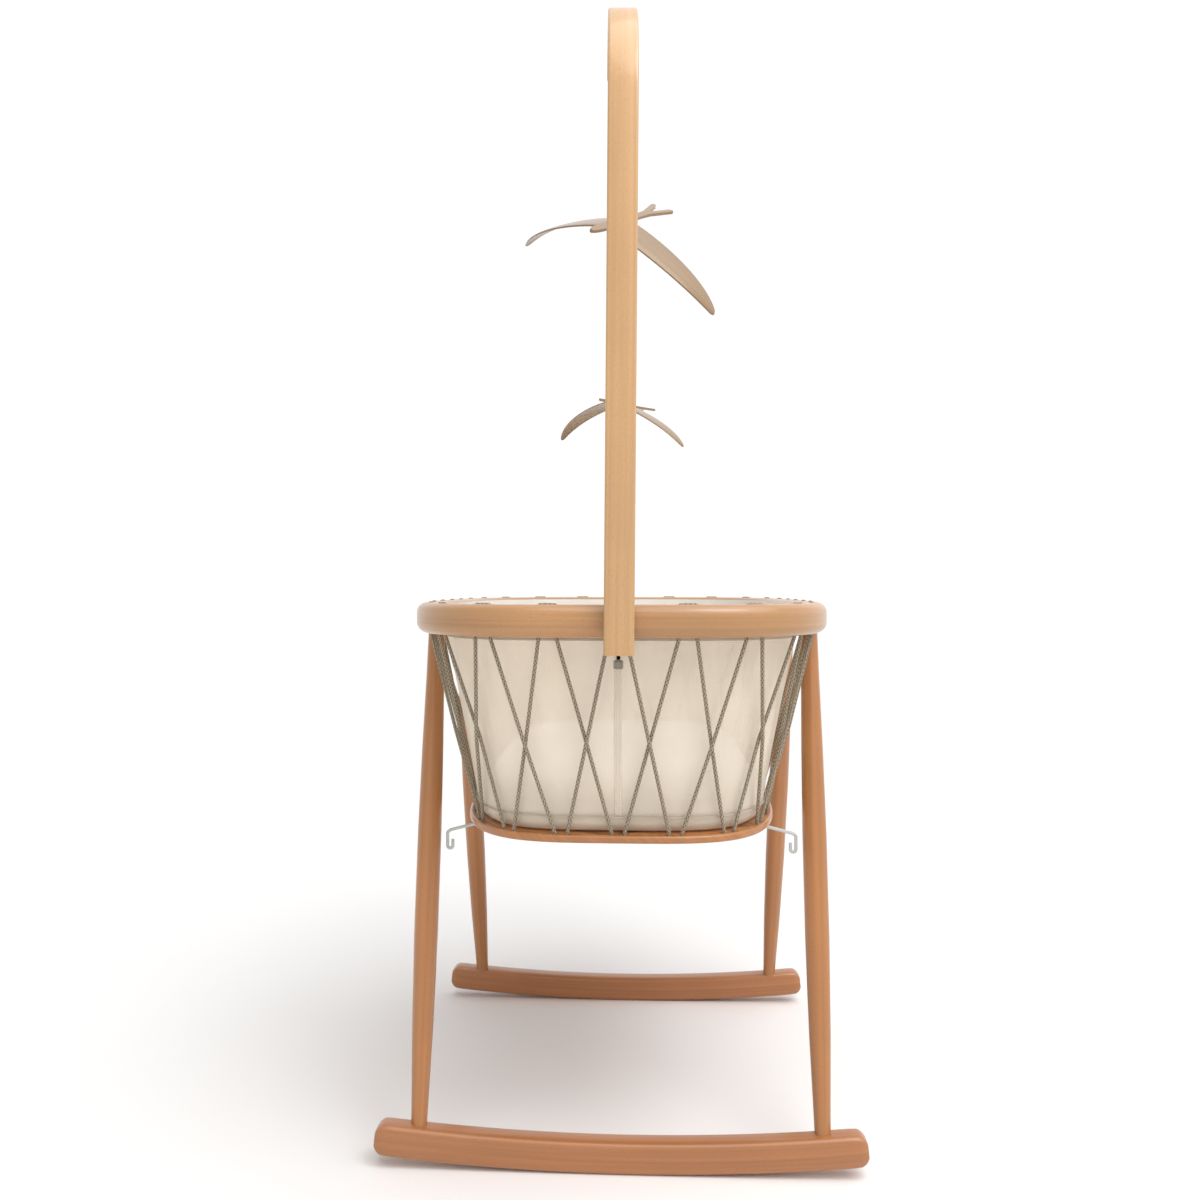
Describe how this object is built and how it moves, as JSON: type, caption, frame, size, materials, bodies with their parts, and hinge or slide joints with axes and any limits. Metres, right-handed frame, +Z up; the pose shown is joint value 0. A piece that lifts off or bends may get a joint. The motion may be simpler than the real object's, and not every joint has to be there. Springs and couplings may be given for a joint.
{
  "type": "rocking bassinet on stand",
  "caption": "Laced mesh basket under a bent-wood rim, on splayed turned legs and curved rockers, with a clamp-on crook carrying a bird mobile.",
  "frame": {"origin": "on the floor under the middle of the whole object's bounding box", "axes": "+Z up, +Y along the basket from the crook's end to the other end, +X across the basket, along the rockers"},
  "size_m": [0.6472, 0.8763, 1.4899],
  "materials": {
    "beech": "clear satin lacquer",
    "pale_beech": "clear satin lacquer",
    "rocker_beech": "clear satin lacquer",
    "cord": "braided cord",
    "liner_mesh": "polyester mesh",
    "hem": "woven tape",
    "mattress_cover": "knitted cotton",
    "steel": "zinc plated",
    "rod_paint": "light grey powder coat",
    "black_steel": "black oxide",
    "brass": "plain",
    "pad_rubber": "matte",
    "thread": "nylon thread"
  },
  "bodies": {
    "stand": {"rim": "beech", "base_board": "beech", "leg_near_left": "beech", "leg_stud_near_left": "steel", "rim_insert_near_left": "brass", "rocker_screw_near_left": "steel", "leg_near_right": "beech", "leg_stud_near_right": "steel", "rim_insert_near_right": "brass", "rocker_screw_near_right": "steel", "leg_far_left": "beech", "leg_stud_far_left": "steel", "rim_insert_far_left": "brass", "rocker_screw_far_left": "steel", "leg_far_right": "beech", "leg_stud_far_right": "steel", "rim_insert_far_right": "brass", "rocker_screw_far_right": "steel", "rocker_near": "rocker_beech", "rocker_far": "rocker_beech", "lacing_outer": "cord", "lacing_inner": "cord", "liner": "liner_mesh", "liner_hem": "hem", "mattress": "mattress_cover", "side_rod_near": "rod_paint", "rod_saddle_near_left": "beech", "saddle_screw_near_left_1": "steel", "saddle_screw_near_left_2": "steel", "rod_saddle_near_right": "beech", "saddle_screw_near_right_1": "steel", "saddle_screw_near_right_2": "steel", "side_rod_far": "rod_paint", "rod_saddle_far_left": "beech", "saddle_screw_far_left_1": "steel", "saddle_screw_far_left_2": "steel", "rod_saddle_far_right": "beech", "saddle_screw_far_right_1": "steel", "saddle_screw_far_right_2": "steel"},
    "crook": {"crook": "pale_beech", "clamp_strap": "steel", "strap_screw_1": "steel", "strap_screw_2": "steel", "screw_eye": "brass"},
    "clamp_pad": {"clamp_pad": "pad_rubber"},
    "clamp_screw": {"clamp_screw": "black_steel", "clamp_knob": "steel"},
    "thread_upper": {"thread_upper": "thread"},
    "bird_upper": {"bird_upper_body": "beech", "bird_upper_left_wing": "beech", "bird_upper_right_wing": "beech"},
    "thread_lower": {"thread_lower": "thread"},
    "bird_lower": {"bird_lower_body": "beech", "bird_lower_left_wing": "beech", "bird_lower_right_wing": "beech"}
  },
  "joints": [
    {"name": "crook_pull_off", "type": "slide", "parent": "stand", "child": "crook", "axis": [0, -1, 0], "range_m": [0, 0.06]},
    {"name": "clamp_pad_travel", "type": "slide", "parent": "crook", "child": "clamp_pad", "axis": [0.0075, 0, 1], "range_m": [-0.005, 0]},
    {"name": "clamp_screw_turn", "type": "hinge", "parent": "clamp_pad", "child": "clamp_screw", "pos_m": [0.00112, -0.40715, 0.67], "axis": [0.0075, 0, 1], "range_deg": [-1810, 0]},
    {"name": "mobile_swing", "type": "hinge", "parent": "crook", "child": "thread_upper", "pos_m": [-0.00069, -0.20148, 1.438], "axis": [0, 1, 0], "range_deg": [-25, 25]},
    {"name": "bird_upper_spin", "type": "hinge", "parent": "thread_upper", "child": "bird_upper", "pos_m": [-0.00069, -0.20148, 1.258], "axis": [0, 0, 1], "continuous": true},
    {"name": "lower_thread_swing", "type": "hinge", "parent": "bird_upper", "child": "thread_lower", "pos_m": [-0.00069, -0.20148, 1.25], "axis": [1, 0, 0], "range_deg": [-20, 20]},
    {"name": "bird_lower_spin", "type": "hinge", "parent": "thread_lower", "child": "bird_lower", "pos_m": [-0.00069, -0.20148, 1.014], "axis": [0, 0, 1], "continuous": true}
  ],
  "couplings": [
    {"joint": "clamp_screw_turn", "follows": "clamp_pad_travel", "rad_per_m": 6283.2}
  ]
}
